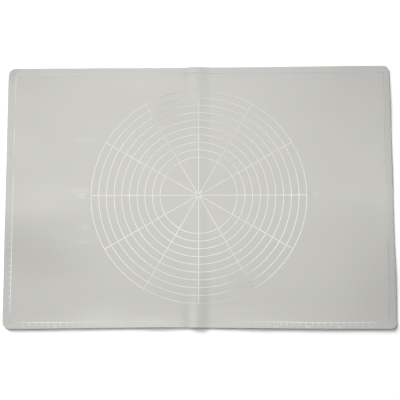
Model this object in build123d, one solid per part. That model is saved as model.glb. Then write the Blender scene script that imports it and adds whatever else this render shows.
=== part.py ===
"""Silicone baking mat with printed rings, spokes, frame line and centimetre rulers.

Frame: X runs along the mat's length, Y along its width towards the far long edge, and Z is up.
The origin is the centre of the underside, which is also the centre of the printed rings. All
lengths are in millimetres.

The mat is a laminate of an underside skin, a glass-cloth core and a top skin, and the print lies
on the top skin as thin films of ink. A low ridge, left by folding, crosses the mat from edge to
edge. Every layer and print is cut at the crest of that ridge into a left and a right half, which
turn about the crest when the mat is folded.
"""

import os
from math import atan2, cos, pi, sin

from build123d import *

# Mat outline
MAT_LENGTH = 629
MAT_WIDTH = 429
CORNER_RADIUS = 11

# Layers, from the underside up
UNDERSIDE_SKIN_THICKNESS = 0.5
CLOTH_THICKNESS = 0.2
TOP_SKIN_THICKNESS = 0.5
INK_THICKNESS = 0.1
CLOTH_INSET = 3  # the skins meet round the cloth in a rim of this width

# Fold ridge, measured on the underside
FOLD_X = -4
RIDGE_HALF_WIDTH = 22
RIDGE_HEIGHT = 4

# Rings and spokes
LINE_WIDTH = 1.1
FIRST_RING_RADIUS = 62.5
RING_COUNT = 10
RING_CLEARANCE = 29  # from the outer ring to the frame line along the mat's long edges
SPOKE_COUNT = 12

# Frame line, from the mat's edge to the middle of the line
FRAME_END_INSET = 11.5
FRAME_SIDE_INSET = 10.5
FRAME_CORNER_RADIUS = 1.5

# Rulers
CENTIMETRE = 10
RULER_MARGIN = 18.3  # the least room between a ruler's end and the end of its frame line
UNITS_PER_NUMERAL = 5
TICK_WIDTH = 0.6
BOTTOM_TICK = 5.5
BOTTOM_NUMBERED_TICK = 8
LEFT_TICK = 4
LEFT_NUMBERED_TICK = 5
LEFT_RULER_SHIFT = 1.2  # how far the left ruler sits off the mat's middle, away from the bottom ruler

# Numerals of the rulers
NUMERAL_HEIGHT = 3
NUMERAL_WIDTH = 1.7
NUMERAL_SPACE = 0.9
NUMERAL_PEN = 0.35
NUMERAL_GAP = 2.2  # from a tick to the numeral beside it
NUMERAL_REACH = 8.5  # from the frame line to the outer side of the numerals

# Angle labels beside the outer ring
LABEL_HEIGHT = 7.6
LABEL_WIDTH = 4.3
LABEL_SPACE = 1.6
LABEL_PEN = 1
LABEL_180_GAP = 8  # from the outer ring to the label
LABEL_0_GAP = 12.5
DEGREE_RADIUS = 1
DEGREE_PEN = 0.6

OVERRUN = 5  # how far a cutting solid runs past what it cuts

# Strokes of each figure, as shares of its width and height
FIGURE_STROKE_SHARES = {
    "0": [(0, 0), (1, 0), (1, 1), (0, 1), (0, 0)],
    "1": [(0.15, 0.8), (0.6, 1), (0.6, 0)],
    "2": [(0, 1), (1, 1), (1, 0.55), (0, 0), (1, 0)],
    "3": [(0, 1), (1, 1), (0.4, 0.55), (1, 0.4), (1, 0), (0, 0)],
    "4": [(0.75, 0), (0.75, 1), (0, 0.3), (1, 0.3)],
    "5": [(1, 1), (0, 1), (0, 0.55), (1, 0.55), (1, 0), (0, 0)],
    "6": [(1, 1), (0, 1), (0, 0), (1, 0), (1, 0.5), (0, 0.5)],
    "7": [(0, 1), (1, 1), (0.35, 0)],
    "8": [(0, 0.5), (0, 0), (1, 0), (1, 1), (0, 1), (0, 0.5), (1, 0.5)],
    "9": [(0, 0), (1, 0), (1, 1), (0, 1), (0, 0.5), (1, 0.5)],
}

LEFT = -1
RIGHT = 1

CLOTH_TOP = UNDERSIDE_SKIN_THICKNESS + CLOTH_THICKNESS
MAT_THICKNESS = CLOTH_TOP + TOP_SKIN_THICKNESS
INK_TOP = MAT_THICKNESS + INK_THICKNESS
CREST_TOP = RIDGE_HEIGHT + INK_TOP
FRAME_LENGTH = MAT_LENGTH - 2 * FRAME_END_INSET
FRAME_WIDTH = MAT_WIDTH - 2 * FRAME_SIDE_INSET
OUTER_RING_RADIUS = FRAME_WIDTH / 2 - RING_CLEARANCE
RING_SPACING = (OUTER_RING_RADIUS - FIRST_RING_RADIUS) / (RING_COUNT - 1)
LONG_RULER_UNITS = int((FRAME_LENGTH - 2 * RULER_MARGIN) / CENTIMETRE)
SHORT_RULER_UNITS = int((FRAME_WIDTH - 2 * RULER_MARGIN) / CENTIMETRE)

# Each flank of the ridge is two equal arcs that meet where it is steepest
FLANK_ANGLE = 2 * atan2(RIDGE_HEIGHT, RIDGE_HALF_WIDTH)
FLANK_RADIUS = RIDGE_HALF_WIDTH / 2 / sin(FLANK_ANGLE)
FLAT_LENGTH = MAT_LENGTH + 4 * FLANK_RADIUS * FLANK_ANGLE - 2 * RIDGE_HALF_WIDTH


def surface_line(height, side):
    """The line at a height above the underside, from beyond the mat's end to the crest."""
    end = Vector(side * (MAT_LENGTH / 2 + OVERRUN), 0, height)
    foot = Vector(FOLD_X + side * RIDGE_HALF_WIDTH, 0, height)
    steepest = Vector(
        FOLD_X + side * (RIDGE_HALF_WIDTH / 2 + height * sin(FLANK_ANGLE)),
        0,
        RIDGE_HEIGHT / 2 + height * cos(FLANK_ANGLE),
    )
    crest = Vector(FOLD_X, 0, RIDGE_HEIGHT + height)
    in_foot_arc = Vector(
        foot.X - side * (FLANK_RADIUS - height) * sin(FLANK_ANGLE / 2),
        0,
        FLANK_RADIUS - (FLANK_RADIUS - height) * cos(FLANK_ANGLE / 2),
    )
    in_crest_arc = Vector(
        FOLD_X + side * (FLANK_RADIUS + height) * sin(FLANK_ANGLE / 2),
        0,
        RIDGE_HEIGHT - FLANK_RADIUS + (FLANK_RADIUS + height) * cos(FLANK_ANGLE / 2),
    )
    edges = [
        Edge.make_line(end, foot),
        Edge.make_three_point_arc(foot, in_foot_arc, steepest),
        Edge.make_three_point_arc(steepest, in_crest_arc, crest),
    ]
    return edges, end, crest


def layer(low, high, side):
    """One half of the layer between two heights above the underside, not yet trimmed."""
    lower, lower_end, lower_crest = surface_line(low, side)
    upper, upper_end, upper_crest = surface_line(high, side)
    closing = [Edge.make_line(lower_end, upper_end), Edge.make_line(lower_crest, upper_crest)]
    section = Face(Wire(lower + upper + closing))
    return extrude(section, amount=MAT_WIDTH / 2 + OVERRUN, dir=(0, 1, 0), both=True)


def outline_prism(inset):
    """The mat's outline, drawn in by an inset, as a prism that runs past it above and below."""
    outline = RectangleRounded(
        MAT_LENGTH - 2 * inset, MAT_WIDTH - 2 * inset, CORNER_RADIUS - inset
    )
    return Pos(0, 0, -OVERRUN) * extrude(outline, amount=CREST_TOP + 2 * OVERRUN)


def cloth(side):
    return layer(UNDERSIDE_SKIN_THICKNESS, CLOTH_TOP, side) & outline_prism(CLOTH_INSET)


def underside_skin(side):
    """The lower skin, with a raised rim that closes the edge of the cloth."""
    return (layer(0, CLOTH_TOP, side) & outline_prism(0)) - cloth(side)


def top_skin(side):
    return layer(CLOTH_TOP, MAT_THICKNESS, side) & outline_prism(0)


def ink(pattern, side):
    """The part of a flat pattern that lies on one half, as a film on the top skin."""
    film = layer(MAT_THICKNESS, INK_TOP, side)
    solids = []
    for face in pattern.faces():
        printed = film & extrude(face, amount=CREST_TOP + OVERRUN, dir=(0, 0, 1))
        if printed is not None:
            solids += printed.solids()
    return Compound(solids)


def rings():
    pattern = Sketch()
    for i in range(RING_COUNT):
        radius = FIRST_RING_RADIUS + i * RING_SPACING
        pattern += Circle(radius + LINE_WIDTH / 2) - Circle(radius - LINE_WIDTH / 2)
    return pattern


def spokes():
    """Lines from the centre to the outer ring, left out where they cross a ring."""
    spoke = Pos(OUTER_RING_RADIUS / 2, 0) * Rectangle(OUTER_RING_RADIUS, LINE_WIDTH)
    pattern = Sketch()
    for i in range(SPOKE_COUNT):
        pattern += Rot(0, 0, i * 360 / SPOKE_COUNT) * spoke
    return pattern - rings()


def frame_line():
    outer = RectangleRounded(
        FRAME_LENGTH + LINE_WIDTH, FRAME_WIDTH + LINE_WIDTH, FRAME_CORNER_RADIUS + LINE_WIDTH / 2
    )
    inner = RectangleRounded(
        FRAME_LENGTH - LINE_WIDTH, FRAME_WIDTH - LINE_WIDTH, FRAME_CORNER_RADIUS - LINE_WIDTH / 2
    )
    return outer - inner


def ruler_ticks(units, side, unit_tick, numbered_tick):
    """Ticks along X, centred on the origin, that stand from Y = 0 to one side of it."""
    ticks = []
    for unit in range(units + 1):
        length = unit_tick
        if unit % UNITS_PER_NUMERAL == 0:
            length = numbered_tick
        x = (unit - units / 2) * CENTIMETRE
        ticks.append(Pos(x, side * length / 2) * Rectangle(TICK_WIDTH, length))
    return Sketch(ticks)


def stroke(start, end, pen):
    """A round-ended stroke of a pen between two points."""
    run = end - start
    turn = atan2(run.Y, run.X) * 180 / pi
    return Pos((start + end) / 2) * Rot(0, 0, turn) * SlotCenterToCenter(run.length, pen)


def figures(text, width, height, space, pen):
    """A number drawn in single strokes, with the lower left corner of its first figure at the origin."""
    drawn = Sketch()
    for place, character in enumerate(text):
        left = place * (width + space)
        corners = [
            Vector(left + x_share * width, y_share * height)
            for x_share, y_share in FIGURE_STROKE_SHARES[character]
        ]
        for start, end in zip(corners, corners[1:]):
            drawn += stroke(start, end, pen)
    return drawn


def numeral(value):
    return figures(str(value), NUMERAL_WIDTH, NUMERAL_HEIGHT, NUMERAL_SPACE, NUMERAL_PEN)


def bottom_ruler():
    place = Pos(0, -(FRAME_WIDTH + LINE_WIDTH) / 2)
    return place * ruler_ticks(LONG_RULER_UNITS, -1, BOTTOM_TICK, BOTTOM_NUMBERED_TICK)


def bottom_numerals():
    """Numbers to the right of the long ticks."""
    baseline = -(FRAME_WIDTH + LINE_WIDTH) / 2 - NUMERAL_REACH + NUMERAL_PEN / 2
    pattern = Sketch()
    for value in range(0, LONG_RULER_UNITS, UNITS_PER_NUMERAL):
        tick_x = (value - LONG_RULER_UNITS / 2) * CENTIMETRE
        pattern += Pos(tick_x + NUMERAL_GAP, baseline) * numeral(value)
    return pattern


def left_ruler():
    place = Pos(-(FRAME_LENGTH + LINE_WIDTH) / 2, LEFT_RULER_SHIFT) * Rot(0, 0, 90)
    return place * ruler_ticks(SHORT_RULER_UNITS, 1, LEFT_TICK, LEFT_NUMBERED_TICK)


def left_numerals():
    """Numbers above the long ticks."""
    left = -(FRAME_LENGTH + LINE_WIDTH) / 2 - NUMERAL_REACH + NUMERAL_PEN / 2
    pattern = Sketch()
    for value in range(0, SHORT_RULER_UNITS, UNITS_PER_NUMERAL):
        tick_y = (value - SHORT_RULER_UNITS / 2) * CENTIMETRE + LEFT_RULER_SHIFT
        pattern += Pos(left, tick_y + NUMERAL_GAP) * numeral(value)
    return pattern


def angle_label(text):
    """A number with a degree ring after it, from the origin rightwards, and its width."""
    number = figures(text, LABEL_WIDTH, LABEL_HEIGHT, LABEL_SPACE, LABEL_PEN)
    degree_x = len(text) * (LABEL_WIDTH + LABEL_SPACE) + DEGREE_RADIUS
    degree = Circle(DEGREE_RADIUS + DEGREE_PEN / 2) - Circle(DEGREE_RADIUS - DEGREE_PEN / 2)
    return number + Pos(degree_x, LABEL_HEIGHT - DEGREE_RADIUS) * degree, degree_x + DEGREE_RADIUS


def label_180():
    label, width = angle_label("180")
    return Pos(-OUTER_RING_RADIUS - LABEL_180_GAP - width, -LABEL_HEIGHT / 2) * label


def label_0():
    label, _ = angle_label("0")
    return Pos(OUTER_RING_RADIUS + LABEL_0_GAP, -LABEL_HEIGHT / 2) * label


def nodes():
    """Every sub-part by name."""
    halves = {"left": LEFT, "right": RIGHT}
    layers = {"underside_skin": underside_skin, "glass_cloth": cloth, "top_skin": top_skin}
    crossing_prints = {
        "rings": rings(),
        "spokes": spokes(),
        "frame_line": frame_line(),
        "bottom_ruler_ticks": bottom_ruler(),
        "bottom_ruler_numerals": bottom_numerals(),
    }
    made = {}
    for half, side in halves.items():
        for name, make in layers.items():
            made[f"{name}_{half}"] = make(side)
        for name, pattern in crossing_prints.items():
            made[f"{name}_{half}"] = ink(pattern, side)
    made["left_ruler_ticks"] = ink(left_ruler(), LEFT)
    made["left_ruler_numerals"] = ink(left_numerals(), LEFT)
    made["angle_label_180"] = ink(label_180(), LEFT)
    made["angle_label_0"] = ink(label_0(), RIGHT)
    return made


os.makedirs("parts", exist_ok=True)
for node, solid in nodes().items():
    export_step(solid, f"parts/{node}.step")
print("fold axis at x", FOLD_X, "and z", CREST_TOP)
print("length pressed flat", FLAT_LENGTH)
print("rings step", RING_SPACING, "rulers", LONG_RULER_UNITS, "and", SHORT_RULER_UNITS, "units")
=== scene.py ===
"""Silicone baking mat with printed rings, spokes, frame line and centimetre rulers.

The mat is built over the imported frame: X along its length, Y towards the far long edge, Z up.
Sizes are in millimetres and are turned to metres where a mesh is made. One height field gives the
underside of the mat as it lies, and every layer and print lies at its own height above it, along
the surface's normal.
"""

from math import pi

import bpy
import numpy as np
from mathutils import Matrix, Vector


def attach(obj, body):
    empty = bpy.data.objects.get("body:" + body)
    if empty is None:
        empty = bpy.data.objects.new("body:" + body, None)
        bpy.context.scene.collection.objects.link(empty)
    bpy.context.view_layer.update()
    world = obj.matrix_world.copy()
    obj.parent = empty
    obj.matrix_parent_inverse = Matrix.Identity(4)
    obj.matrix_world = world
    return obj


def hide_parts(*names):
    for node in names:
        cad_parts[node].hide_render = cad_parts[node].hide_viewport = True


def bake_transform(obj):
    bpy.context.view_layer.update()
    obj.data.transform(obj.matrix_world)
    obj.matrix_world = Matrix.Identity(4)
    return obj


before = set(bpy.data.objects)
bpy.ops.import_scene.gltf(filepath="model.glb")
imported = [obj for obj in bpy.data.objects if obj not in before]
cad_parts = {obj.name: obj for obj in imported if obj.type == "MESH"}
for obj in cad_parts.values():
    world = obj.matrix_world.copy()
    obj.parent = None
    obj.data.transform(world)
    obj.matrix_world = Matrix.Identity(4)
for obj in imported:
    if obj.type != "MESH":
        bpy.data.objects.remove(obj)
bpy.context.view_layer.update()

MM = 0.001

# Mat
HALF_LENGTH = 314.5
HALF_WIDTH = 214.5
CORNER_RADII = {"far left": 13, "far right": 10, "near left": 12, "near right": 9}
UNDERSIDE_SKIN_THICKNESS = 0.5
CLOTH_TOP = 0.7
MAT_THICKNESS = 1.2
CLOTH_INSET = 3
RIM_RADIUS = 0.3

# Fold ridge
CREST_HEIGHT_AT_FAR_EDGE = 4.5
CREST_HEIGHT_AT_NEAR_EDGE = 3.2
CREST_HEIGHT_AT_MIDDLE = 1.5
CREST_X_AT_MIDDLE = -4.2
CREST_SKEW = -2.1  # how far the crest moves in X from the middle to the far edge
RIDGE_LEFT_REACH = 19
RIDGE_RIGHT_REACH = 23
RIDGE_WIDENING = 6  # how much farther the right flank reaches at the far edge
CREST_RISE_POWER = 1.6  # the higher, the nearer to the long edges the crest keeps its height

# Lie of the sheet on the table
NEAR_CURL = 1.5  # how far the near edge stands up
NEAR_CURL_REACH = 20
NEAR_CURL_LOST_AT_RIDGE = 0.8  # as a share of the curl
EDGE_WAVE_DEPTH = 34  # how far inwards the waves of the long edges reach
END_WAVE_DEPTH = 38
# Place along the edge, side of the mat, rise and reach of each wave of the two long edges
EDGE_WAVES = [
    (-160, 1, 0.9, 28), (150, 1, 0.6, 30), (235, 1, 1.5, 45),
    (-64, -1, 0.9, 24), (96, -1, 0.5, 26), (200, -1, 0.3, 40),
]
# The same for the two ends
END_WAVES = [
    (110, -1, 0.5, 40), (-60, -1, 0.9, 34), (-140, 1, 1.2, 50), (40, 1, 0.5, 40), (150, 1, 0.9, 40),
]
# Middle, rise and reach of the low swellings left in the sheet. The first lies beside the fold.
SWELLINGS = [
    (-60, 0, 0.35, 26, 150), (-250, -60, 0.7, 30, 34), (230, -150, 0.6, 60, 36),
    (120, 120, 0.4, 60, 40),
]

# How far the sides of the sheet stand out past their straight places
LEFT_END_DRIFT = 0.2
LEFT_END_LEAN = 1.3  # more at the far edge, and as much less at the near one
RIGHT_END_DRIFT = -0.7
FAR_EDGE_DRIFT = -0.1
FAR_EDGE_LEAN = 0.6
FAR_EDGE_BOW = 0.7
NEAR_EDGE_DRIFT = 0.9
NEAR_EDGE_HOLLOW = 2.4
NEAR_EDGE_HOLLOW_X = -50
NEAR_EDGE_HOLLOW_REACH = 170
BORDER_POWER = 8  # the higher, the closer to the border a drift stays

# Spacing of the sheet's grid of points
RIDGE_ZONE = (-40, 34)
RIDGE_COLUMN_STEP = 1.0
LEFT_COLUMNS = 92
RIGHT_COLUMNS = 94
CORNER_ROWS = 9
MIDDLE_ROWS = 101
RIM_STEPS = 6
SLOPE_STEP = 0.05  # over which the surface's slope is taken

# Print
INK_SINK = 0.05
INK_RISE = 0.07
# Corners of a printed line's section, as a share of its width and a rise above the top skin
INK_SECTION = [
    (-0.5, -INK_SINK), (0.5, -INK_SINK), (0.5, INK_RISE / 2),
    (0.25, INK_RISE), (-0.25, INK_RISE), (-0.5, INK_RISE / 2),
]
START_CAP = [[3, 2, 1, 0], [5, 4, 3, 0]]  # faces on the section's corners
END_CAP = [[0, 1, 2, 3], [0, 3, 4, 5]]
LINE_STEP = 1.2  # between points along a straight line
RING_STEP = 1.4
FEWEST_RING_POINTS = 20
LINE_WIDTH = 1.1
FIRST_RING_RADIUS = 62.5
RING_SPACING = 12.5
RING_COUNT = 10
OUTER_RING_RADIUS = 175
SPOKE_COUNT = 12
FRAME_HALF_LENGTH = 303
FRAME_HALF_WIDTH = 204
FRAME_CORNER_RADIUS = 1.5
FRAME_CORNER_POINTS = 9
CENTIMETRE = 10
LONG_RULER_UNITS = 56
SHORT_RULER_UNITS = 37
UNITS_PER_NUMERAL = 5
TICK_WIDTH = 0.6
BOTTOM_TICK = 5.5
BOTTOM_NUMBERED_TICK = 8
LEFT_TICK = 4
LEFT_NUMBERED_TICK = 5
LEFT_RULER_SHIFT = 1.2  # the left ruler sits this far off the mat's middle
TICK_OVERLAP = 0.2  # of a tick with the frame line
NUMERAL_HEIGHT = 3
NUMERAL_WIDTH = 1.7
NUMERAL_SPACE = 0.9
NUMERAL_PEN = 0.35
NUMERAL_GAP = 2.2
NUMERAL_REACH = 8.5
LABEL_HEIGHT = 7.6
LABEL_WIDTH = 4.3
LABEL_SPACE = 1.6
LABEL_PEN = 1
LABEL_180_GAP = 8
LABEL_0_GAP = 12.5
DEGREE_RADIUS = 1
DEGREE_PEN = 0.6
DEGREE_STEP = 0.3

# The print near each side moves with the sheet. A zone is how far from the middle the moving
# starts, and over what length it grows to its full amount.
PRINT_END_ZONE = (285, 15)
PRINT_NEAR_ZONE = (190, 12)
LEFT_PRINT_SHIFT = 0.55  # inwards
LEFT_PRINT_LEAN = 0.9
RIGHT_PRINT_SHIFT = 0.7  # outwards
RIGHT_PRINT_LOSS = 1.5  # near the corner
RIGHT_PRINT_LOSS_ZONE = (150, 50)
NEAR_PRINT_SHIFT_AT_LEFT = 1  # outwards
NEAR_PRINT_LEFT_ZONE = (175, 45)
NEAR_PRINT_SHIFT_AT_RIGHT = 1.55
NEAR_PRINT_RIGHT_ZONE = (95, 100)

# Patterns of the materials
HANDLING_MARK_SIZE = 111
BLASTED_GRAIN_SIZE = 0.5  # finer on a real mat, and as coarse as this so that it shows
BLASTED_GRAIN_DEPTH = 0.05
INK_SPECKLE_SIZE = 4
YARN_SPACING = 0.6
YARN_RELIEF = 0.1


# The mat's surface


def smooth(t):
    """0 below 0, 1 above 1, and between them 3 t squared less 2 t cubed."""
    t = np.clip(t, 0, 1)
    return t * t * (3 - 2 * t)


def bump(x, y, at_x, at_y, reach_x, reach_y):
    """1 at a point, falling off as a bell with a reach along X and another along Y."""
    return np.exp(-(((x - at_x) / reach_x) ** 2) - ((y - at_y) / reach_y) ** 2)


def bells(table, x, y):
    """The sum of bells, each a place, an amount, and a reach along X and along Y."""
    total = np.zeros_like(x)
    for at_x, at_y, amount, reach_x, reach_y in table:
        total = total + amount * bump(x, y, at_x, at_y, reach_x, reach_y)
    return total


def ramp(value, zone):
    """0 up to the start of a zone and 1 past its length, smooth between."""
    start, length = zone
    return smooth((value - start) / length)


def crest_place(y):
    """Where the crest of the fold lies along X. It runs slightly askew."""
    return CREST_X_AT_MIDDLE + CREST_SKEW * y / HALF_WIDTH


def height(x, y):
    """Height of the underside above the table, in millimetres.

    The fold ridge is a squared cosine across its crest, with a shorter reach on the left, and its
    crest rises towards both long edges by a power of the distance from the middle. Swellings are
    bells. A wave of an edge is a bell along it that dies out inwards as another bell. The near edge
    curls up by the square of how far a point is into the curl's reach, and less at the ridge.
    """
    along = np.minimum(np.abs(y) / HALF_WIDTH, 1)
    end_height = np.where(y > 0, CREST_HEIGHT_AT_FAR_EDGE, CREST_HEIGHT_AT_NEAR_EDGE)
    rise_to_end = (end_height - CREST_HEIGHT_AT_MIDDLE) * along**CREST_RISE_POWER
    across = x - crest_place(y)
    right_reach = RIDGE_RIGHT_REACH + RIDGE_WIDENING * np.clip(y / HALF_WIDTH, 0, 1)
    reach = np.where(across < 0, RIDGE_LEFT_REACH, right_reach)
    flank = np.cos(np.clip(across / reach, -1, 1) * pi / 2) ** 2
    ridge = (CREST_HEIGHT_AT_MIDDLE + rise_to_end) * flank
    lift = bells(SWELLINGS, x, y)
    for at_x, side, rise, reach_x in EDGE_WAVES:
        inwards = np.maximum(HALF_WIDTH - side * y, 0)
        lift = lift + rise * np.exp(-(((x - at_x) / reach_x) ** 2) - (inwards / EDGE_WAVE_DEPTH) ** 2)
    for at_y, side, rise, reach_y in END_WAVES:
        inwards = np.maximum(HALF_LENGTH - side * x, 0)
        lift = lift + rise * np.exp(-(((y - at_y) / reach_y) ** 2) - (inwards / END_WAVE_DEPTH) ** 2)
    curl = NEAR_CURL * np.clip(1 - (HALF_WIDTH + y) / NEAR_CURL_REACH, 0, 1) ** 2
    curl = curl * (1 - NEAR_CURL_LOST_AT_RIDGE * np.exp(-((across / reach) ** 2)))
    return ridge + lift + curl


def lay(x, y, rise):
    """Points at a rise above the underside, measured along the surface's normal."""
    slope_x = (height(x + SLOPE_STEP, y) - height(x - SLOPE_STEP, y)) / (2 * SLOPE_STEP)
    slope_y = (height(x, y + SLOPE_STEP) - height(x, y - SLOPE_STEP)) / (2 * SLOPE_STEP)
    length = np.sqrt(slope_x**2 + slope_y**2 + 1)
    z = height(x, y) + rise / length
    return np.stack([x - rise * slope_x / length, y - rise * slope_y / length, z], axis=-1)


# Meshes


def make_piece(name, points, faces, material, finish):
    """A smooth-shaded mesh object from points in millimetres and an array of quads.

    The finish is a name and a function of X and Y, kept on the mesh for its material to read.
    """
    mesh = bpy.data.meshes.new(name)
    mesh.from_pydata((points * MM).tolist(), [], faces.tolist())
    mesh.update()
    mesh.shade_smooth()
    attribute, function = finish
    values = np.clip(function(points[:, 0], points[:, 1]), 0, 1)
    layer = mesh.attributes.new(attribute, "FLOAT", "POINT")
    layer.data.foreach_set("value", values.astype(np.float32))
    piece = bpy.data.objects.new(name, mesh)
    bpy.context.scene.collection.objects.link(piece)
    piece.data.materials.append(material)
    return piece


def column_places():
    """Places of the grid's columns along the length, even on both sides of the ridge and closer on it."""
    ridge = np.arange(*RIDGE_ZONE, RIDGE_COLUMN_STEP)
    left = np.linspace(-HALF_LENGTH, ridge[0], LEFT_COLUMNS)[:-1]
    right = np.linspace(ridge[-1] + RIDGE_COLUMN_STEP, HALF_LENGTH, RIGHT_COLUMNS)
    return np.concatenate([left, ridge, right])


def row_places():
    """Places of the rows across the width, as shares of a corner at both ends and even between."""
    corner = 1 - np.cos(np.linspace(0, pi / 2, CORNER_ROWS))
    middle = np.linspace(-1, 1, MIDDLE_ROWS)
    return corner, middle


def end_drift(side, y):
    """How far an end of the mat stands out past its straight place, at a place along it."""
    return np.where(side < 0, LEFT_END_DRIFT + LEFT_END_LEAN * y / HALF_WIDTH, RIGHT_END_DRIFT)


def edge_drift(side, x):
    """The same for a long edge.

    The far edge leans and bows out towards the right. The near one is drawn in by a bell near its
    middle.
    """
    share = x / HALF_LENGTH
    far = FAR_EDGE_DRIFT + FAR_EDGE_LEAN * share + FAR_EDGE_BOW * share**2
    hollow = np.exp(-(((x - NEAR_EDGE_HOLLOW_X) / NEAR_EDGE_HOLLOW_REACH) ** 2))
    return np.where(side > 0, far, NEAR_EDGE_DRIFT - NEAR_EDGE_HOLLOW * hollow)


def outline_grid(inset):
    """Grid of points that fills the mat's outline drawn in by an inset.

    Rows inside the corners are spaced as one less the cosine of even turns, and are shortened by
    the corner's own arc. The shortening and the drift of the sides go with a high power of the
    distance from the middle, so that they move the outer points only.
    """
    corner, middle = row_places()
    length, width = HALF_LENGTH - inset, HALF_WIDTH - inset
    columns = column_places() * length / HALF_LENGTH
    biggest = max(CORNER_RADII.values()) - inset
    in_corner = biggest * corner[:-1]
    rows = np.concatenate([-width + in_corner, (width - biggest) * middle, (width - in_corner)[::-1]])
    x = np.tile(columns, (len(rows), 1))
    y = np.repeat(rows[:, None], len(columns), axis=1)
    share = columns / length
    for side, ends in ((-1, ("near left", "far left")), (1, ("near right", "far right"))):
        on_side = np.where(share * side > 0, np.abs(share) ** BORDER_POWER, 0)
        x = x + side * end_drift(side, y) * on_side
        for edge, corner_name in zip((-1, 1), ends):
            radius = CORNER_RADII[corner_name] - inset
            depth = np.clip(radius - (width - edge * rows), 0, radius)
            shortening = radius - np.sqrt(np.maximum(radius**2 - depth**2, 0))
            x = x - side * shortening[:, None] * on_side[None, :]
    y = y + np.sign(y) * edge_drift(np.sign(y), x) * (np.abs(rows[:, None]) / width) ** BORDER_POWER
    return x, y


def edge_loop(grid):
    """The points round the border of a grid, anticlockwise from its near left corner."""
    return np.concatenate([grid[0, :-1], grid[:-1, -1], grid[-1, :0:-1], grid[:0:-1, 0]])


def grid_quads(rows, columns, first):
    """Quads of a grid of points, facing up, and the grid of point numbers."""
    index = np.arange(rows * columns).reshape(rows, columns) + first
    corners = [index[:-1, :-1], index[:-1, 1:], index[1:, 1:], index[1:, :-1]]
    return np.stack(corners, axis=-1).reshape(-1, 4), index


def band_quads(lower, upper):
    """Quads that join two closed loops of point numbers, facing outwards."""
    return np.stack([lower, np.roll(lower, -1), np.roll(upper, -1), upper], axis=-1)


def sheet_layer(name, rims, material, finish):
    """A closed sheet, whose border is a profile of (inset, rise) pairs from its lower face up.

    The first and the last pair are also the sheet's two faces, each a full grid of points.
    """
    points, faces, loops, count = [], [], [], 0
    for place, (inset, rise) in enumerate(rims):
        laid = lay(*outline_grid(inset), rise)
        if place in (0, len(rims) - 1):
            quads, numbers = grid_quads(*laid.shape[:2], count)
            faces.append(quads if place else quads[:, ::-1])
            loops.append(edge_loop(numbers))
            points.append(laid.reshape(-1, 3))
        else:
            points.append(edge_loop(laid))
            loops.append(np.arange(len(points[-1])) + count)
        count += len(points[-1])
    for lower, upper in zip(loops, loops[1:]):
        faces.append(band_quads(lower, upper))
    return make_piece(name, np.concatenate(points), np.concatenate(faces), material, finish)


def ribbon(path, width, closed=False):
    """Points and quads of a printed line along a flat path.

    Its section has a sunk flat underside, short upright sides and a domed top. It is carried along
    the path, and stands square at each point to the line between that point's two neighbours. An
    open line ends in a cap at each end.
    """
    ahead = np.roll(path, -1, axis=0) - np.roll(path, 1, axis=0)
    if not closed:
        ahead[0], ahead[-1] = path[1] - path[0], path[-1] - path[-2]
    ahead = ahead / np.linalg.norm(ahead, axis=1, keepdims=True)
    normal = np.stack([-ahead[:, 1], ahead[:, 0]], axis=-1)
    rings = []
    for share, rise in INK_SECTION:
        flat = path - normal * share * width
        rings.append(lay(flat[:, 0], flat[:, 1], MAT_THICKNESS + rise))
    points = np.stack(rings, axis=1)
    steps, sides = points.shape[:2]
    index = np.arange(steps * sides).reshape(steps, sides)
    after = np.roll(index, -1, axis=0)
    if not closed:
        index, after = index[:-1], after[:-1]
    corners = [index, np.roll(index, -1, axis=1), np.roll(after, -1, axis=1), after]
    faces = np.stack(corners, axis=-1).reshape(-1, 4)
    if not closed:
        faces = np.concatenate([faces, START_CAP, np.array(END_CAP) + (steps - 1) * sides])
    return points.reshape(-1, 3), faces


# Painted sheen and painted shade on the print, lighter or darker than its plain level: X, Y, amount,
# reach along X and along Y
PRINT_PAINTED_SHEEN_AND_SHADE = [
    (-55, 148, -0.42, 26, 42), (-45, 168, -0.12, 14, 12), (42, 108, -0.21, 22, 48),
    (85, 128, -0.15, 34, 50), (10, 184, -0.27, 80, 18), (-20, 164, -0.14, 25, 22),
    (-100, 135, -0.08, 30, 30), (66, -148, -0.42, 22, 26), (84, -145, -0.3, 9, 14),
    (18, -178, -0.27, 22, 13), (-75, -150, -0.14, 26, 36), (140, -85, 0.3, 55, 75),
    (-120, -90, 0.16, 70, 60), (0, -100, 0.13, 40, 50), (-160, 0, 0.08, 30, 60),
    (165, 0, 0.18, 22, 40), (46, 44, -0.18, 16, 16), (-45, 45, -0.13, 16, 16),
    (-30, -55, 0.16, 18, 18), (-45, 75, -0.12, 20, 20), (0, -95, 0.08, 6, 95), (0, 35, 0.06, 6, 40),
    (-90, 0, 0.05, 70, 8), (90, 0, 0.1, 70, 6), (197, 0, -0.3, 14, 14), (-194, 0, -0.15, 14, 14),
]
# The same on the frame line and rulers, which lie near the mat's edges; painted shade darkens much
# of the frame line at the right end and along the far edge
PRINT_PAINTED_SHEEN_AND_SHADE_AT_EDGES = [
    (-294, -208, -0.15, 14, 16), (-240, -208, 0.3, 36, 14), (-125, -208, -0.18, 60, 14),
    (10, -208, -0.36, 84, 14), (175, -208, 0.22, 70, 14), (285, -208, -0.2, 18, 14),
    (-285, 208, -0.18, 20, 14), (-250, 208, -0.14, 60, 14), (-150, 208, -0.22, 80, 14),
    (0, 208, -0.43, 100, 14), (180, 208, -0.43, 130, 14), (240, 208, -0.1, 60, 14),
    (305, 60, -0.35, 16, 90), (305, 110, -0.15, 16, 30), (305, -110, -0.62, 16, 70),
    (305, -190, -0.4, 16, 24), (305, 190, -0.4, 16, 50), (-305, -138, 0.32, 16, 46),
    (-305, 60, -0.25, 14, 26), (-305, 140, -0.28, 14, 26), (-305, -202, -0.4, 16, 18),
    (-309, 0, -0.3, 3.5, 300),
]
PLAIN_COVER = 0.73
COVER_EDGE_X, COVER_EDGE_Y = 290, 195  # where the second table takes over from the first
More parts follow.
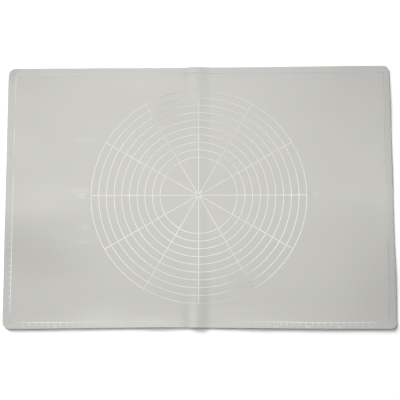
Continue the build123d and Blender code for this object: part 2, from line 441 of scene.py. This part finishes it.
FOLD_WEAR = 0.25
FOLD_WEAR_REACH = 1.3
FOLD_WEAR_ZONE = (40, 50)


def print_cover(x, y):
    """How light a place of the print is, from 0, worn and darkest, to 1, full.

    Patches of painted sheen and painted shade lighten or darken it. It is worn along the crest of the
    fold, as a narrow bell across it.
    """
    wear = FOLD_WEAR * np.exp(-(((x - crest_place(y)) / FOLD_WEAR_REACH) ** 2))
    near_edge = (np.abs(x) > COVER_EDGE_X) | (np.abs(y) > COVER_EDGE_Y)
    patches = np.where(near_edge, bells(PRINT_PAINTED_SHEEN_AND_SHADE_AT_EDGES, x, y), bells(PRINT_PAINTED_SHEEN_AND_SHADE, x, y))
    return PLAIN_COVER + patches - wear * ramp(np.abs(y), FOLD_WEAR_ZONE)


# Broad faint patches painted into the tone of the top skin, in grey levels of 255, and finer streaks.
# They are painted light and painted shade: sheen and shade where the sheet's lie catches or loses
# the light, shade on the flanks of the fold ridge and in the far left corner, and highlight streaks.
SKIN_PAINTED_LIGHT_AND_SHADE = [
    (-285, -80, -9, 75, 42), (-250, 2, 5, 80, 22), (285, 2, 6, 75, 30), (295, -150, -7, 45, 70),
    (-110, -208, 9, 90, 9), (60, -208, 5, 70, 9), (240, 195, -5, 70, 40), (-275, 190, -4, 40, 22),
    (-90, 195, 3, 50, 25), (-300, 75, 4, 40, 30), (-40, 125, -3, 45, 40), (-192, 8, 9, 15, 3.6),
    (-187, -76, 7, 13, 3.2), (-184, -52, 8, 7, 4), (-190, 92, 7, 16, 3.2), (311, 0, -6, 7, 400),
    (0, 60, -1, 90, 60), (-235, -115, -5, 60, 26), (290, 60, 4, 60, 30), (-150, -188, 5, 60, 16),
    (60, -190, 5, 110, 14), (-165, -196, 5, 50, 12), (-270, -21, 4, 60, 12), (302, -15, 3, 14, 34),
    (230, 150, -2, 80, 30), (8, -214, -8, 9, 70), (-21, -214, -9, 6, 45), (-9, -214, 6, 5, 35),
    (-60, -202, 4, 45, 12), (-23, 205, -6, 5, 12), (-1, -200, -4, 4, 20), (-180, -205, 3, 90, 9),
    (110, -206, 3, 60, 9), (-309, 207, -12, 9, 12),
]
TONE_RANGE = 12


def skin_tone(x, y):
    """The tone of the top skin, from 0, darkest, through 0.5 to 1, lightest: painted light and painted
    shade.
    """
    return 0.5 + bells(SKIN_PAINTED_LIGHT_AND_SHADE, x, y) / (2 * TONE_RANGE)


def even_tone(x, y):
    """One tone all over."""
    return np.full_like(x, 0.5)


def drawn_aside(path):
    """A printed path moved by as much as the sheet lies out of square under it.

    Only what is printed close to an edge is moved. The left side leans, its near end inwards; the
    right side stands out, except at its near end; the near side stands out towards both ends.
    """
    x, y = path[:, 0], path[:, 1]
    left = (LEFT_PRINT_SHIFT - LEFT_PRINT_LEAN * y / HALF_WIDTH) * ramp(-x, PRINT_END_ZONE)
    right = RIGHT_PRINT_SHIFT - RIGHT_PRINT_LOSS * ramp(-y, RIGHT_PRINT_LOSS_ZONE)
    right = right * ramp(x, PRINT_END_ZONE)
    near = NEAR_PRINT_SHIFT_AT_LEFT * ramp(-x, NEAR_PRINT_LEFT_ZONE)
    near = near + NEAR_PRINT_SHIFT_AT_RIGHT * ramp(x, NEAR_PRINT_RIGHT_ZONE)
    near = near * ramp(-y, PRINT_NEAR_ZONE)
    return np.stack([x + left + right, y - near], axis=-1)


def printed(name, lines, material):
    """One piece from many printed lines, each a path, a width and whether it closes on itself."""
    points, faces, count = [], [], 0
    for path, width, closed in lines:
        line_points, line_faces = ribbon(drawn_aside(path), width, closed)
        points.append(line_points)
        faces.append(line_faces + count)
        count += len(line_points)
    points, faces = np.concatenate(points), np.concatenate(faces)
    # The print's lightness: wear along the fold, and painted sheen and painted shade
    return make_piece(name, points, faces, material, ("ink_wear_and_painted_light", print_cover))


def straight(start, end):
    """Evenly spaced points on a straight line."""
    start, end = np.array(start, float), np.array(end, float)
    count = max(2, int(np.linalg.norm(end - start) / LINE_STEP) + 1)
    return start + (end - start) * np.linspace(0, 1, count)[:, None]


def circle(radius, spacing=RING_STEP, middle=(0, 0)):
    """Evenly spaced points on a circle."""
    count = max(FEWEST_RING_POINTS, int(2 * pi * radius / spacing))
    turn = np.arange(count) * 2 * pi / count
    return np.stack([middle[0] + radius * np.cos(turn), middle[1] + radius * np.sin(turn)], axis=-1)


def rounded_frame():
    """The frame line: four straight sides joined by quarter circles."""
    length, width, radius = FRAME_HALF_LENGTH, FRAME_HALF_WIDTH, FRAME_CORNER_RADIUS
    corners = []
    for turn, (x, y) in enumerate(((1, 1), (-1, 1), (-1, -1), (1, -1))):
        middle = np.array([x * (length - radius), y * (width - radius)])
        angle = (turn + np.linspace(0, 1, FRAME_CORNER_POINTS)) * pi / 2
        corners.append(middle + radius * np.stack([np.cos(angle), np.sin(angle)], axis=-1))
    path = []
    for corner, following in zip(corners, corners[1:] + corners[:1]):
        path += [corner, straight(corner[-1], following[0])[1:-1]]
    return np.concatenate(path)


def rounded_corners(corners, passes=3):
    """A line through corner points whose corners are cut, pass after pass.

    Each pass puts a point at a quarter and one at three quarters of every run in place of its ends,
    and keeps the first and last points.
    """
    path = np.array(corners, float)
    for _ in range(passes):
        before, after = path[:-1], path[1:]
        cut = np.stack([0.75 * before + 0.25 * after, 0.25 * before + 0.75 * after], axis=1)
        path = np.concatenate([path[:1], cut.reshape(-1, 2)[1:-1], path[-1:]])
    return path


# Strokes of each figure, as shares of its width and height
FIGURE_STROKE_SHARES = {
    "0": [(0.5, 1), (1, 1), (1, 0.5), (1, 0), (0.5, 0), (0, 0), (0, 0.5), (0, 1), (0.45, 1)],
    "1": [(0.15, 0.78), (0.6, 1), (0.6, 0)],
    "2": [(0, 0.8), (0.1, 1), (1, 1), (1, 0.6), (0.3, 0.3), (0, 0), (0.02, 0), (1, 0)],
    "3": [(0, 0.9), (0.2, 1), (1, 1), (1, 0.55), (0.4, 0.54), (1, 0.52), (1, 0), (0.2, 0), (0, 0.1)],
    "4": [(0.75, 0), (0.75, 1), (0.74, 1), (0, 0.3), (0.01, 0.3), (1, 0.3)],
    "5": [
        (0.95, 1), (0.1, 1), (0.09, 1), (0, 0.5), (0.02, 0.5),
        (0.6, 0.7), (1, 0.5), (1, 0), (0.2, 0), (0, 0.12),
    ],
    "6": [(0.9, 0.95), (0.2, 1), (0, 0.5), (0, 0), (1, 0), (1, 0.58), (0.2, 0.6), (0.02, 0.35)],
    "7": [(0, 1), (0.99, 1), (1, 1), (0.35, 0)],
    "8": [
        (0.5, 0.54), (0, 0.6), (0, 1), (1, 1), (1, 0.6),
        (0, 0.5), (0, 0), (1, 0), (1, 0.5), (0.5, 0.54),
    ],
    "9": [(0.1, 0.05), (0.8, 0), (1, 0.5), (1, 1), (0, 1), (0, 0.42), (0.8, 0.4), (0.98, 0.65)],
}


def figures(text, left, baseline, width, tall, space, pen):
    """The lines of a number whose first figure has its lower left corner at a place."""
    lines = []
    for place, character in enumerate(text):
        shares = np.array(FIGURE_STROKE_SHARES[character])
        path = rounded_corners(shares) * (width, tall) + (left + place * (width + space), baseline)
        lines.append((path, pen, False))
    return lines


def ruler_lines(units, tick, numbered_tick, place):
    """The ticks of a ruler, as lines; place turns (along, outwards) into a point on the mat."""
    lines = []
    for unit in range(units + 1):
        length = tick if unit % UNITS_PER_NUMERAL else numbered_tick
        along = (unit - units / 2) * CENTIMETRE
        lines.append((straight(place(along, -TICK_OVERLAP), place(along, length)), TICK_WIDTH, False))
    return lines


# Materials


def linear(hex_colour):
    """An sRGB hex colour as linear RGBA."""
    values = [int(hex_colour[k:k + 2], 16) / 255 for k in (1, 3, 5)]
    return [v / 12.92 if v <= 0.04045 else ((v + 0.055) / 1.055) ** 2.4 for v in values] + [1]


def add(material, kind, settings=None, links=None):
    """Adds a node to a material, with its settings by property or socket, and its links."""
    node = material.node_tree.nodes.new("ShaderNode" + kind)
    for name, value in (settings or {}).items():
        if isinstance(name, str) and hasattr(node, name):
            setattr(node, name, value)
        else:
            node.inputs[name].default_value = value
    for name, source in (links or {}).items():
        material.node_tree.links.new(source, node.inputs[name])
    return node


def new_material(name):
    """A material with no nodes yet."""
    material = bpy.data.materials.new(name)
    material.use_nodes = True
    material.node_tree.nodes.clear()
    return material


def moulded_silicone(name, dark, light, roughness, specular):
    """Platinum-cured silicone skin, moulded against a finely blasted plate.

    To the eye it is a soft satin with a fine even grain and a faint random mottle. Broad patches come
    from the tone attribute, which on the top skin is painted light and painted shade.
    """
    material = new_material(name)
    place = add(material, "TexCoord").outputs["Object"]
    # The tone attribute: painted light and painted shade on the top skin, one even tone elsewhere
    painted_light_and_shade = add(material, "Attribute", {"attribute_name": "tone"}).outputs["Fac"]
    mottle = add(
        material, "TexNoise",
        {"Scale": 1 / (HANDLING_MARK_SIZE * MM), "Detail": 3.0, "Roughness": 0.6}, {"Vector": place},
    )
    grain = add(
        material, "TexNoise",
        {"Scale": 1 / (BLASTED_GRAIN_SIZE * MM), "Detail": 2.0, "Roughness": 0.6}, {"Vector": place},
    )
    stray = add(
        material, "MapRange", {"From Min": 0.3, "From Max": 0.7, "To Min": -0.05, "To Max": 0.05},
        {"Value": mottle.outputs["Fac"]},
    )
    shade = add(material, "Math", {"operation": "ADD"}, {0: painted_light_and_shade, 1: stray.outputs["Result"]})
    tone = add(
        material, "Mix", {"data_type": "RGBA", 6: linear(dark), 7: linear(light)},
        {"Factor": shade.outputs[0]},
    )
    relief = add(
        material, "Bump", {"Strength": 0.12, "Distance": BLASTED_GRAIN_DEPTH * MM},
        {"Height": grain.outputs["Fac"]},
    )
    shader = add(
        material, "BsdfPrincipled",
        {"Roughness": roughness, "Specular IOR Level": specular, "IOR": 1.41},
        {"Base Color": tone.outputs[2], "Normal": relief.outputs["Normal"]},
    )
    add(material, "OutputMaterial", links={"Surface": shader.outputs[0]})
    return material


def silicone_ink(name, thin_and_shaded, full):
    """Screen-printed silicone ink: a matt off-white film with slightly worn, uneven coat. Its lightness
    attribute also carries painted sheen and painted shade, and its grey end, darker than the bare
    silicone, is painted shade.
    """
    material = new_material(name)
    place = add(material, "TexCoord").outputs["Object"]
    # Wear along the fold, and painted sheen and painted shade on the print
    wear_and_painted_light = add(material, "Attribute", {"attribute_name": "ink_wear_and_painted_light"}).outputs["Fac"]
    speckle = add(
        material, "TexNoise",
        {"Scale": 1 / (INK_SPECKLE_SIZE * MM), "Detail": 3.0, "Roughness": 0.6}, {"Vector": place},
    )
    stray = add(
        material, "MapRange", {"From Min": 0.3, "From Max": 0.7, "To Min": -0.1, "To Max": 0.1},
        {"Value": speckle.outputs["Fac"]},
    )
    ink_wear_and_painted_light = add(
        material, "Math", {"operation": "ADD", "use_clamp": True},
        {0: wear_and_painted_light, 1: stray.outputs["Result"]},
    )
    tone = add(
        material, "Mix", {"data_type": "RGBA", 6: linear(thin_and_shaded), 7: linear(full)},
        {"Factor": ink_wear_and_painted_light.outputs[0]},
    )
    shader = add(
        material, "BsdfPrincipled", {"Roughness": 0.35, "Specular IOR Level": 0.6, "IOR": 1.45},
        {"Base Color": tone.outputs[2]},
    )
    add(material, "OutputMaterial", links={"Surface": shader.outputs[0]})
    return material


def glass_cloth_weave(name, sunk, raised):
    """Plain-woven glass-fibre cloth: pale flat yarns, one over and one under, with a soft gloss.

    The height is the product of a sine along X and a sine along Y, one half wave to a yarn. The colour
    follows the height and darkens where the weave sinks, which is painted shade in its hollows.
    """
    material = new_material(name)
    place = add(material, "TexCoord").outputs["Object"]
    split = add(material, "SeparateXYZ", links={"Vector": place})
    waves = []
    for axis in ("X", "Y"):
        turn = add(
            material, "Math", {"operation": "MULTIPLY", 1: pi / (YARN_SPACING * MM)},
            {0: split.outputs[axis]},
        )
        waves.append(add(material, "Math", {"operation": "SINE"}, {0: turn.outputs[0]}).outputs[0])
    over = add(material, "Math", {"operation": "MULTIPLY"}, {0: waves[0], 1: waves[1]})
    share = add(material, "MapRange", {"From Min": -1.0, "From Max": 1.0}, {"Value": over.outputs[0]})
    # Darker where the weave sinks: painted shade in its hollows
    tone = add(
        material, "Mix", {"data_type": "RGBA", 6: linear(sunk), 7: linear(raised)},
        {"Factor": share.outputs["Result"]},
    )
    relief = add(
        material, "Bump", {"Strength": 0.5, "Distance": YARN_RELIEF * MM},
        {"Height": share.outputs["Result"]},
    )
    shader = add(
        material, "BsdfPrincipled", {"Roughness": 0.4, "IOR": 1.52},
        {"Base Color": tone.outputs[2], "Normal": relief.outputs["Normal"]},
    )
    add(material, "OutputMaterial", links={"Surface": shader.outputs[0]})
    return material


# The top skin's two tones are the darkest painted shade and the lightest painted light
top_silicone = moulded_silicone("satin_moulded_silicone_top", "#C2C1BC", "#DAD9D4", 0.5, 0.4)
underside_silicone = moulded_silicone(
    "matt_moulded_silicone_underside", "#C4C3BE", "#CECDC8", 0.62, 0.4
)
# The darker tone is painted shade in the weave's hollows
cloth_material = glass_cloth_weave("plain_woven_glass_cloth", "#C9C8BF", "#E2E1DA")
# The grey end, darker than the bare silicone, is painted shade
ink_material = silicone_ink("matt_silicone_print_ink", "#A09E99", "#FFFFFD")


# Pieces

# A quarter round of the sheet's border, as how far it is drawn in and how far it falls short
quarter_round = [
    (RIM_RADIUS * (1 - np.cos(turn)), RIM_RADIUS * (1 - np.sin(turn)))
    for turn in np.linspace(0, pi / 2, RIM_STEPS)
]
top_rims = [(0, CLOTH_TOP)] + [(inset, MAT_THICKNESS - short) for inset, short in quarter_round]
# The top skin's tone holds its painted light and painted shade
top_skin = sheet_layer("top_skin", top_rims, top_silicone, ("tone", skin_tone))
cloth_rims = [(CLOTH_INSET, UNDERSIDE_SKIN_THICKNESS), (CLOTH_INSET, CLOTH_TOP)]
glass_cloth = sheet_layer("glass_cloth", cloth_rims, cloth_material, ("tone", even_tone))
underside_rims = quarter_round[::-1]
underside_rims += [(0, CLOTH_TOP), (CLOTH_INSET, CLOTH_TOP), (CLOTH_INSET, UNDERSIDE_SKIN_THICKNESS)]
underside_skin = sheet_layer(
    "underside_skin", underside_rims, underside_silicone, ("tone", even_tone)
)

ring_radii = [FIRST_RING_RADIUS + k * RING_SPACING for k in range(RING_COUNT)]
ring_lines = [(circle(radius), LINE_WIDTH, True) for radius in ring_radii]
rings = printed("printed_rings", ring_lines, ink_material)

spoke_lines = []
clear = LINE_WIDTH / 2
clear_of_centre = clear / np.tan(pi / SPOKE_COUNT)
for k in range(SPOKE_COUNT):
    turn = k * 2 * pi / SPOKE_COUNT
    way = np.array([np.cos(turn), np.sin(turn)])
    for inner, outer in zip([0] + ring_radii, ring_radii):
        start = inner + (clear if inner else clear_of_centre)
        spoke_lines.append((straight(way * start, way * (outer - clear)), LINE_WIDTH, False))
spokes = printed("printed_spokes", spoke_lines, ink_material)

frame_line = printed("printed_frame_line", [(rounded_frame(), LINE_WIDTH, True)], ink_material)

bottom_y = -FRAME_HALF_WIDTH - LINE_WIDTH / 2
left_x = -FRAME_HALF_LENGTH - LINE_WIDTH / 2
bottom_lines = ruler_lines(
    LONG_RULER_UNITS, BOTTOM_TICK, BOTTOM_NUMBERED_TICK, lambda along, out: (along, bottom_y - out)
)
left_lines = ruler_lines(
    SHORT_RULER_UNITS, LEFT_TICK, LEFT_NUMBERED_TICK,
    lambda along, out: (left_x - out, along + LEFT_RULER_SHIFT),
)
bottom_ticks = printed("printed_bottom_ruler_ticks", bottom_lines, ink_material)
left_ticks = printed("printed_left_ruler_ticks", left_lines, ink_material)

numeral_sizes = (NUMERAL_WIDTH, NUMERAL_HEIGHT, NUMERAL_SPACE, NUMERAL_PEN)
outer_side = NUMERAL_REACH - NUMERAL_PEN / 2
bottom_figures, left_figures = [], []
for value in range(0, LONG_RULER_UNITS, UNITS_PER_NUMERAL):
    tick_x = (value - LONG_RULER_UNITS / 2) * CENTIMETRE
    bottom_figures += figures(str(value), tick_x + NUMERAL_GAP, bottom_y - outer_side, *numeral_sizes)
for value in range(0, SHORT_RULER_UNITS, UNITS_PER_NUMERAL):
    tick_y = (value - SHORT_RULER_UNITS / 2) * CENTIMETRE + LEFT_RULER_SHIFT
    left_figures += figures(str(value), left_x - outer_side, tick_y + NUMERAL_GAP, *numeral_sizes)
bottom_numerals = printed("printed_bottom_ruler_numerals", bottom_figures, ink_material)
left_numerals = printed("printed_left_ruler_numerals", left_figures, ink_material)

label_sizes = (LABEL_WIDTH, LABEL_HEIGHT, LABEL_SPACE, LABEL_PEN)
label_y = -LABEL_HEIGHT / 2


def angle_label(name, text, left):
    """A number with a degree ring after it."""
    lines = figures(text, left, label_y, *label_sizes)
    degree_x = left + len(text) * (LABEL_WIDTH + LABEL_SPACE) + DEGREE_RADIUS
    ring = circle(DEGREE_RADIUS, DEGREE_STEP, (degree_x, label_y + LABEL_HEIGHT - DEGREE_RADIUS))
    return printed(name, lines + [(ring, DEGREE_PEN, True)], ink_material)


label_180_width = 3 * (LABEL_WIDTH + LABEL_SPACE) + 2 * DEGREE_RADIUS
label_180_left = -OUTER_RING_RADIUS - LABEL_180_GAP - label_180_width
label_180 = angle_label("printed_angle_label_180", "180", label_180_left)
label_0 = angle_label("printed_angle_label_0", "0", OUTER_RING_RADIUS + LABEL_0_GAP)

# Riding on the frame

crossing = {
    top_skin: "top_skin", glass_cloth: "glass_cloth", underside_skin: "underside_skin", rings: "rings",
    spokes: "spokes", frame_line: "frame_line", bottom_ticks: "bottom_ruler_ticks",
    bottom_numerals: "bottom_ruler_numerals",
}
for piece, node in crossing.items():
    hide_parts(node + "_left", node + "_right")
    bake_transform(piece)
for piece, node, body in (
    (left_ticks, "left_ruler_ticks", "left_half"), (left_numerals, "left_ruler_numerals", "left_half"),
    (label_180, "angle_label_180", "left_half"), (label_0, "angle_label_0", "right_half"),
):
    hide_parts(node)
    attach(piece, body)

# Floor, lights and camera

FLOOR_HALF = 2  # in metres, as are all places and sizes from here on
FLOOR_DROP = 0.0002  # so that the floor's face and the mat's don't meet
# The floor's shade in the light that it throws on the mat, and as the camera sees it, where the
# floor's own lamp adds to it
FLOOR_SHADE_ON_MAT, FLOOR_SHADE_SEEN = 0.75, 0.42
# The world's strength as a light, and as the camera sees it
WORLD_LIGHT, WORLD_SEEN = 0.25, 1.0

floor_corners = [
    (x * FLOOR_HALF, y * FLOOR_HALF, 0) for x, y in ((-1, -1), (1, -1), (1, 1), (-1, 1))
]
floor_mesh = bpy.data.meshes.new("floor")
floor_mesh.from_pydata(floor_corners, [], [(0, 1, 2, 3)])
floor = bpy.data.objects.new("floor", floor_mesh)
bpy.context.scene.collection.objects.link(floor)
floor.location.z = -FLOOR_DROP
paper = new_material("white_paper_floor")
shade = add(
    paper, "Mix",
    {"data_type": "RGBA", 6: [FLOOR_SHADE_ON_MAT] * 3 + [1], 7: [FLOOR_SHADE_SEEN] * 3 + [1]},
    {"Factor": add(paper, "LightPath").outputs["Is Camera Ray"]},
)
plain = add(paper, "BsdfDiffuse", links={"Color": shade.outputs[2]})
add(paper, "OutputMaterial", links={"Surface": plain.outputs[0]})
floor.data.materials.append(paper)

world = bpy.data.worlds.new("studio")
bpy.context.scene.world = world
world.use_nodes = True
sky = world.node_tree.nodes["Background"]
sky.inputs["Color"].default_value = (1, 1, 1, 1)
strength = add(
    world, "MapRange", {"To Min": WORLD_LIGHT, "To Max": WORLD_SEEN},
    {"Value": add(world, "LightPath").outputs["Is Camera Ray"]},
)
world.node_tree.links.new(strength.outputs["Result"], sky.inputs["Strength"])


def area_light(name, place, target, size, power):
    """A soft rectangular lamp that points at a target."""
    light = bpy.data.lights.new(name, "AREA")
    light.shape, light.size, light.size_y, light.energy = "RECTANGLE", size[0], size[1], power
    lamp = bpy.data.objects.new(name, light)
    lamp.location = place
    lamp.rotation_mode = "QUATERNION"
    lamp.rotation_quaternion = (Vector(target) - Vector(place)).to_track_quat("-Z", "Y")
    bpy.context.scene.collection.objects.link(lamp)
    return lamp


area_light("overhead_softbox", (-0.1, 0.15, 1.0), (0, 0, 0), (0.5, 0.5), 5.6)
area_light("overhead_fill_right", (0.35, 0.15, 1.0), (0, 0, 0), (0.5, 0.5), 1.3)
area_light("overhead_fill_left", (-0.7, 0.1, 1.5), (0, 0, 0), (0.5, 1.4), 1.1)
area_light("low_strip_left", (-1.3, 0.0, 0.5), (0, 0, 0), (1.6, 0.3), 3.6)
shadow_key = area_light("low_key_for_the_floor", (-27, 35.25, 18), (0, 0, 0), (24, 21), 102500)
floor_only = bpy.data.collections.new("floor_only")
floor_only.objects.link(floor)
shadow_key.light_linking.receiver_collection = floor_only

# The camera looks down on the mat from over its near edge, with the length across the picture
camera_place = Vector((0.03677, -0.26546, 1.6009))
camera_target = Vector((0.00212, -0.00761, 0))
camera_back = (camera_place - camera_target).normalized()
camera_right = Vector((0, 1, 0)).cross(camera_back).normalized()
camera_up = camera_back.cross(camera_right)
camera_data = bpy.data.cameras.new("camera")
camera_data.lens, camera_data.sensor_width = 90, 36
camera = bpy.data.objects.new("camera", camera_data)
camera.location = camera_place
camera.rotation_euler = Matrix((camera_right, camera_up, camera_back)).transposed().to_euler()
bpy.context.scene.collection.objects.link(camera)
bpy.context.scene.camera = camera

bpy.context.scene.view_settings.view_transform = "Standard"
